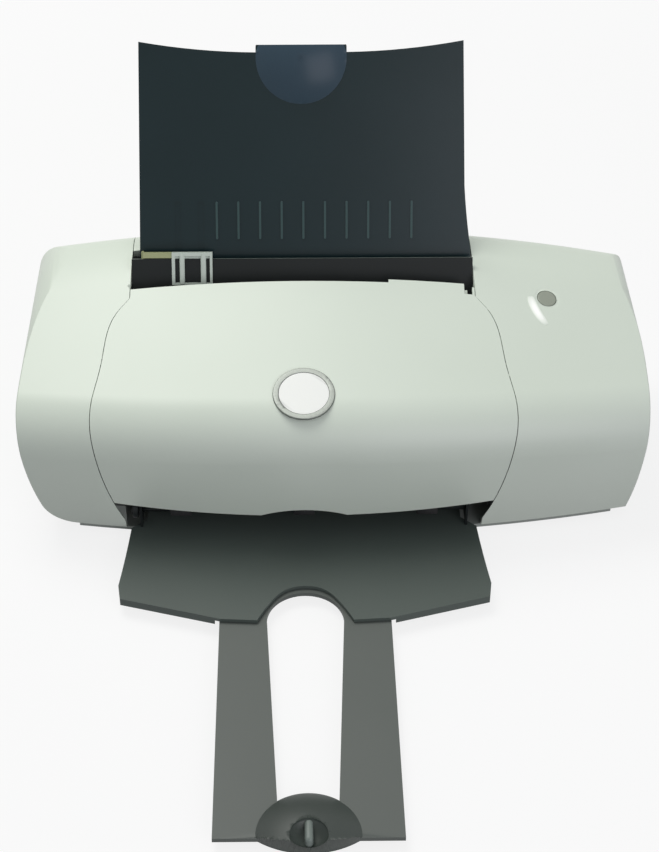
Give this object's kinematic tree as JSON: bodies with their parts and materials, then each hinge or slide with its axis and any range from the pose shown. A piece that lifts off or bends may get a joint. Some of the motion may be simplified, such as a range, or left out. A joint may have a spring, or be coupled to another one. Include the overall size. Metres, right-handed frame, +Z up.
{
  "type": "photo printer",
  "caption": "Desk-top ink-jet photo printer with a hinged top cover, a raised paper support behind a feed slot and a front exit tray with a pull-out extension.",
  "frame": {"origin": "middle of the outline on the table, under the printer", "axes": "+X to the right seen from the front, +Y from the exit tray towards the back, +Z up"},
  "size_m": [0.4249, 0.4777, 0.2758],
  "materials": {
    "white_shell": "fine satin texture",
    "dark_panel": "dark glossy smoked plastic",
    "grey_tray": "satin charcoal plastic",
    "black_plastic": "fine matt texture",
    "mid_grey_plastic": "satin",
    "pale_plastic": "glossy moulded plastic",
    "badge_silver": "brushed ring",
    "badge_white": "bare glossy disc",
    "button_silver": "silver-grey lacquer",
    "steel": "rolled sheet",
    "rod_steel": "ground and polished",
    "rubber": "matt",
    "green_board": "solder-masked board",
    "clear_film": "translucent film",
    "felt": "absorbent felt",
    "gear_plastic": "natural acetal"
  },
  "bodies": {
    "housing": {"left_side_cover": "white_shell", "right_side_cover": "white_shell", "rear_cover": "white_shell", "base_chassis": "mid_grey_plastic", "rubber_feet": "rubber", "chassis_screws": "steel", "exit_tray": "grey_tray", "feeder_front_bar": "black_plastic", "feeder_back_plate": "black_plastic", "main_frame": "steel", "carriage_rod": "rod_steel", "encoder_strip": "clear_film", "carriage_motor": "steel", "idler_bracket": "steel", "left_side_plate": "black_plastic", "right_side_plate": "black_plastic", "platen": "black_plastic", "star_wheel_rail": "black_plastic", "gear_plate": "steel", "feed_motor": "steel", "control_board": "green_board", "usb_socket": "steel", "power_inlet": "black_plastic", "service_rails": "mid_grey_plastic", "waste_ink_pad": "felt", "cover_hinge_pins": "rod_steel", "button_board": "green_board", "drive_belt": "rubber", "exit_belt": "rubber"},
    "front_cover": {"access_cover": "white_shell", "badge_ring": "badge_silver", "badge_disc": "badge_white"},
    "tray_slide": {"tray_extension": "grey_tray"},
    "support_panel": {"paper_support": "dark_panel"},
    "edge_guide": {"paper_guide": "pale_plastic", "guide_wall": "pale_plastic"},
    "button": {"power_button": "button_silver"},
    "print_carriage": {"carriage": "black_plastic", "colour_cartridge": "mid_grey_plastic", "black_cartridge": "black_plastic"},
    "latch_a": {"left_latch": "mid_grey_plastic"},
    "latch_b": {"right_latch": "mid_grey_plastic"},
    "belt_pulley_a": {"motor_pulley": "gear_plastic"},
    "belt_pulley_b": {"idler_pulley": "gear_plastic"},
    "feed_shaft": {"feed_roller": "rubber", "feed_gear": "gear_plastic", "feed_pulley": "gear_plastic"},
    "exit_shaft": {"exit_roller": "rubber", "exit_pulley": "gear_plastic"},
    "pick_shaft": {"pick_roller": "rubber", "pick_gear": "gear_plastic"},
    "transfer_a": {"lower_transfer_gear": "gear_plastic"},
    "transfer_b": {"upper_transfer_gear": "gear_plastic"},
    "pinion": {"feed_motor_pinion": "gear_plastic"},
    "pinch_shaft": {"pinch_rollers": "mid_grey_plastic"},
    "star_shaft": {"star_wheels": "steel"},
    "sled": {"service_sled": "mid_grey_plastic", "head_caps": "rubber", "head_wiper": "rubber"}
  },
  "joints": [
    {"name": "cover_hinge", "type": "hinge", "parent": "housing", "child": "front_cover", "pos_m": [-0.0208, 0.13841, 0.1295], "axis": [-1, 0, 0], "range_deg": [0, 42]},
    {"name": "tray_extension_slide", "type": "slide", "parent": "housing", "child": "tray_slide", "axis": [0, 1, 0], "range_m": [0, 0.165]},
    {"name": "paper_support_slide", "type": "slide", "parent": "housing", "child": "support_panel", "axis": [0, -0.454, -0.891], "range_m": [0, 0.07]},
    {"name": "edge_guide_slide", "type": "slide", "parent": "housing", "child": "edge_guide", "axis": [1, 0, 0], "range_m": [0, 0.11]},
    {"name": "power_button_press", "type": "slide", "parent": "housing", "child": "button", "axis": [-0.1482, 0.2891, -0.9457], "range_m": [0, 0.0012], "stiffness_N_per_m": 300},
    {"name": "carriage_slide", "type": "slide", "parent": "housing", "child": "print_carriage", "axis": [-1, 0, 0], "range_m": [0, 0.298]},
    {"name": "left_latch_hinge", "type": "hinge", "parent": "print_carriage", "child": "latch_a", "pos_m": [-0.0208, 0.08961, 0.0797], "axis": [-1, 0, 0], "range_deg": [0, 45]},
    {"name": "right_latch_hinge", "type": "hinge", "parent": "print_carriage", "child": "latch_b", "pos_m": [-0.0208, 0.08961, 0.0797], "axis": [-1, 0, 0], "range_deg": [0, 45]},
    {"name": "motor_pulley_spin", "type": "hinge", "parent": "housing", "child": "belt_pulley_a", "pos_m": [0.1852, 0.10291, 0.05], "axis": [0, 1, 0], "range_deg": [-3000, 60]},
    {"name": "idler_pulley_spin", "type": "hinge", "parent": "housing", "child": "belt_pulley_b", "pos_m": [-0.1793, 0.10291, 0.05], "axis": [0, 1, 0], "range_deg": [-3000, 60]},
    {"name": "feed_roller_spin", "type": "hinge", "parent": "housing", "child": "feed_shaft", "pos_m": [-0.0208, 0.10441, 0.024], "axis": [1, 0, 0], "continuous": true},
    {"name": "exit_roller_spin", "type": "hinge", "parent": "housing", "child": "exit_shaft", "pos_m": [-0.0208, 0.04041, 0.026], "axis": [1, 0, 0], "continuous": true},
    {"name": "pick_roller_spin", "type": "hinge", "parent": "housing", "child": "pick_shaft", "pos_m": [-0.0208, 0.12128, 0.08376], "axis": [1, 0, 0], "continuous": true},
    {"name": "lower_transfer_spin", "type": "hinge", "parent": "housing", "child": "transfer_a", "pos_m": [-0.1453, 0.12332, 0.03878], "axis": [1, 0, 0], "continuous": true},
    {"name": "upper_transfer_spin", "type": "hinge", "parent": "housing", "child": "transfer_b", "pos_m": [-0.1453, 0.12595, 0.06021], "axis": [1, 0, 0], "continuous": true},
    {"name": "pinion_spin", "type": "hinge", "parent": "housing", "child": "pinion", "pos_m": [-0.1453, 0.12332, 0.02067], "axis": [1, 0, 0], "continuous": true},
    {"name": "pinch_roller_spin", "type": "hinge", "parent": "housing", "child": "pinch_shaft", "pos_m": [-0.0208, 0.10441, 0.0364], "axis": [1, 0, 0], "continuous": true},
    {"name": "star_wheel_spin", "type": "hinge", "parent": "housing", "child": "star_shaft", "pos_m": [-0.0208, 0.04041, 0.037], "axis": [1, 0, 0], "continuous": true},
    {"name": "service_sled_slide", "type": "slide", "parent": "housing", "child": "sled", "axis": [-1, 0, 0], "range_m": [0, 0.009]}
  ],
  "couplings": [
    {"joint": "motor_pulley_spin", "follows": "carriage_slide", "rad_per_m": -166.67},
    {"joint": "idler_pulley_spin", "follows": "carriage_slide", "rad_per_m": -166.67},
    {"joint": "lower_transfer_spin", "follows": "feed_roller_spin", "ratio": -1.5},
    {"joint": "upper_transfer_spin", "follows": "feed_roller_spin", "ratio": 1.2},
    {"joint": "pick_roller_spin", "follows": "feed_roller_spin", "ratio": -1.2},
    {"joint": "pinion_spin", "follows": "feed_roller_spin", "ratio": -3},
    {"joint": "exit_roller_spin", "follows": "feed_roller_spin", "ratio": 1.3333},
    {"joint": "pinch_roller_spin", "follows": "feed_roller_spin", "ratio": -2},
    {"joint": "star_wheel_spin", "follows": "feed_roller_spin", "ratio": -1.9048}
  ]
}
